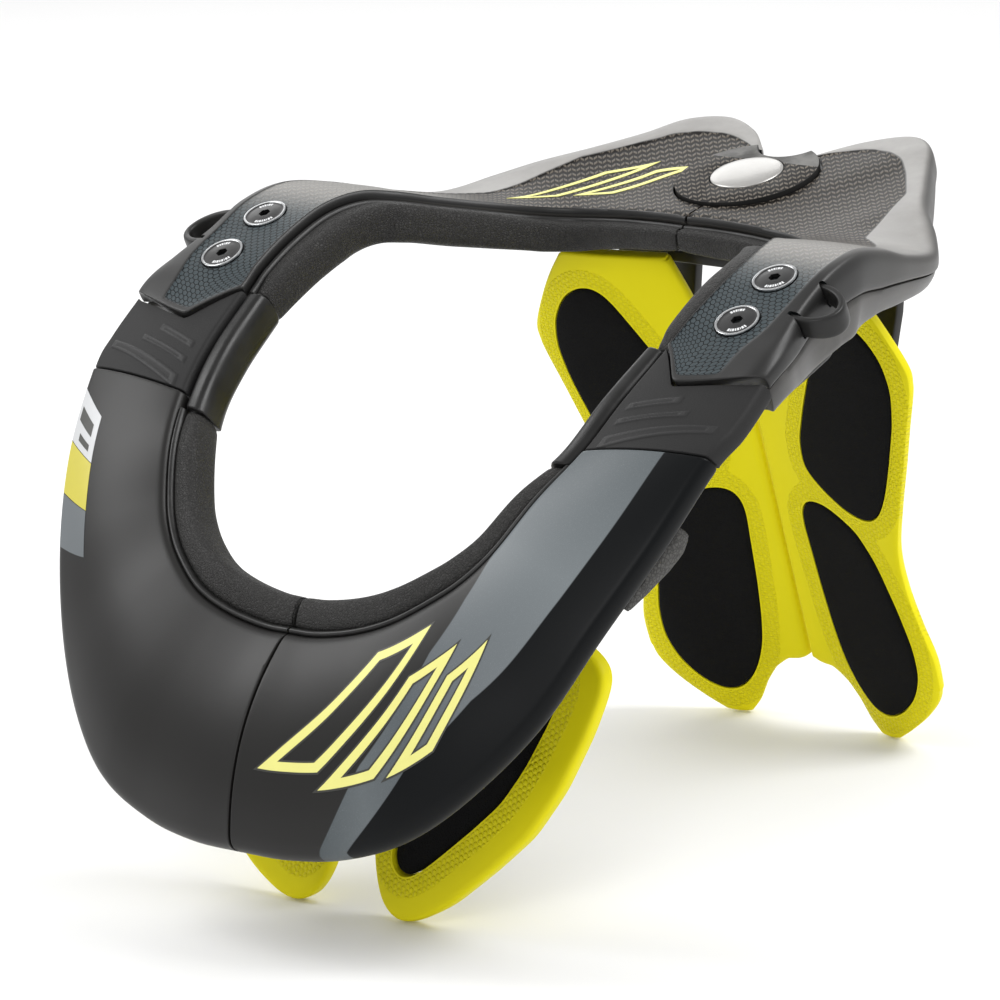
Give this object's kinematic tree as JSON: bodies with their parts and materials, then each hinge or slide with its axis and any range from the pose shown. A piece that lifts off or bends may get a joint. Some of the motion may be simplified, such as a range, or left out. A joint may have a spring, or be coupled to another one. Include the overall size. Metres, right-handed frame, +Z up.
{
  "type": "motocross neck brace",
  "caption": "Rigid protective neck collar with a split front bib, padded neck opening, shoulder arms, rear plate, chest pads and a moulded back support.",
  "frame": {"origin": "on the floor under the middle of the brace's bounding box", "axes": "+Z up, the wearer faces -Y, +X to the wearer's left"},
  "size_m": [0.3046, 0.3568, 0.2327],
  "materials": {
    "satin_shell": "satin",
    "flex_rubber": "matte",
    "neck_padding": "grained",
    "grey_foam": "speckled",
    "carbon_frame": "satin carbon weave",
    "grey_shell": "satin",
    "black_foam": "matte",
    "black_plastic": "satin",
    "dark_screw": "polished",
    "yellow_moulding": "satin soft moulding",
    "pearl_badge": "pearly metal"
  },
  "bodies": {
    "core": {"hub_cap": "carbon_frame", "hub_badge": "pearl_badge", "support_bracket": "black_plastic", "back_support": "yellow_moulding", "back_foam_upper_left": "black_foam", "back_foam_upper_right": "black_foam", "back_foam_lower_left": "black_foam", "back_foam_lower_right": "black_foam", "strut_left": "black_plastic", "strut_right": "black_plastic"},
    "left_half": {"front_shell_left": "satin_shell", "flex_panel_left": "flex_rubber", "inner_trim_left": "flex_rubber", "neck_pad_front_left": "neck_padding", "neck_pad_rear_left": "neck_padding", "under_pad_left": "grey_foam", "rear_frame_left": "carbon_frame", "rear_lower_left": "grey_shell", "shoulder_pad_left": "black_foam", "strap_loop_left": "black_plastic", "bolt_upper_left": "dark_screw", "bolt_lower_left": "dark_screw", "chest_pad_left": "yellow_moulding", "chest_inset_left": "black_foam", "chest_bracket_left": "black_plastic"},
    "right_half": {"front_shell_right": "satin_shell", "flex_panel_right": "flex_rubber", "inner_trim_right": "flex_rubber", "neck_pad_front_right": "neck_padding", "neck_pad_rear_right": "neck_padding", "under_pad_right": "grey_foam", "rear_frame_right": "carbon_frame", "rear_lower_right": "grey_shell", "shoulder_pad_right": "black_foam", "strap_loop_right": "black_plastic", "bolt_upper_right": "dark_screw", "bolt_lower_right": "dark_screw", "chest_pad_right": "yellow_moulding", "chest_inset_right": "black_foam", "chest_bracket_right": "black_plastic"}
  },
  "joints": [
    {"name": "left_half_swing", "type": "hinge", "parent": "core", "child": "left_half", "pos_m": [0, 0.13054, 0.223], "axis": [0, -0.2164, 0.9763], "range_deg": [0, 18]},
    {"name": "right_half_swing", "type": "hinge", "parent": "core", "child": "right_half", "pos_m": [0, 0.13054, 0.223], "axis": [0, -0.2164, 0.9763], "range_deg": [-18, 0]}
  ]
}
